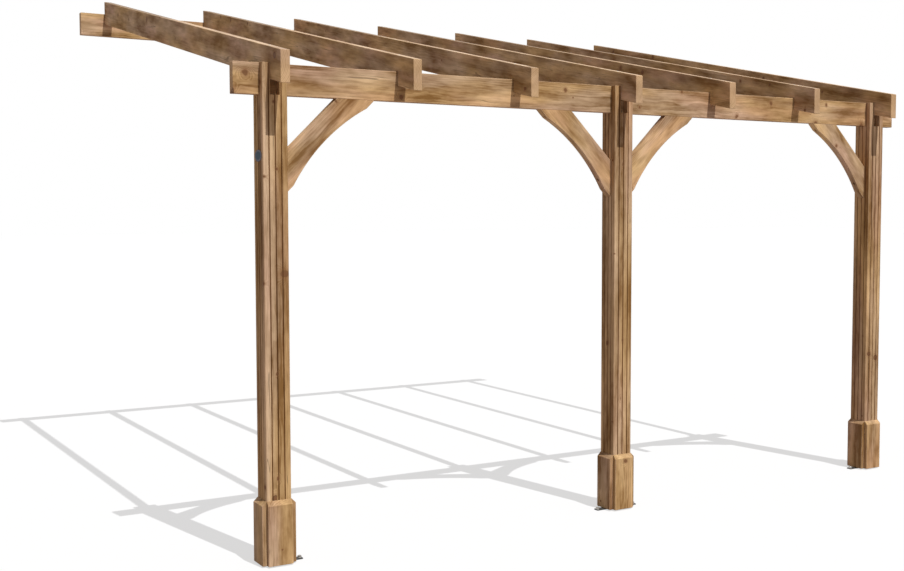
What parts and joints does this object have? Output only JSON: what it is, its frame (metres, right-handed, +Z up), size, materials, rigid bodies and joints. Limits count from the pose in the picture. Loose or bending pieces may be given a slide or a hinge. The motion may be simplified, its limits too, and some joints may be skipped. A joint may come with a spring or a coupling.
{
  "type": "lean-to pergola",
  "caption": "Timber lean-to pergola: grooved posts with skirt boards and arched braces carry a front beam, and rafters rise to a wall plate.",
  "frame": {"origin": "on the ground under the centre of the middle post's steel foot", "axes": "+X to the right along the front beam, +Y towards the house wall, +Z up"},
  "size_m": [4.316, 3.248, 3.0125],
  "materials": {
    "timber": "planed softwood, oiled, matt",
    "steel": "hot-dip zinc, weathered dark grey, matt",
    "fixings": "zinc-plated screws, nuts and washers",
    "tag": "matt blue-grey plastic"
  },
  "bodies": {
    "root": {"post_left": "timber", "post_middle": "timber", "post_right": "timber", "front_beam": "timber", "wall_plate": "timber", "rafter_1": "timber", "rafter_2": "timber", "rafter_3": "timber", "rafter_4": "timber", "rafter_5": "timber", "rafter_6": "timber", "rafter_7": "timber", "brace_left": "timber", "brace_middle_left": "timber", "brace_middle_right": "timber", "brace_right": "timber", "skirt_left_front": "timber", "skirt_left_right": "timber", "skirt_left_back": "timber", "skirt_left_left": "timber", "skirt_middle_front": "timber", "skirt_middle_right": "timber", "skirt_middle_back": "timber", "skirt_middle_left": "timber", "skirt_right_front": "timber", "skirt_right_right": "timber", "skirt_right_back": "timber", "skirt_right_left": "timber", "foot_left": "steel", "foot_middle": "steel", "foot_right": "steel"}
  },
  "joints": []
}
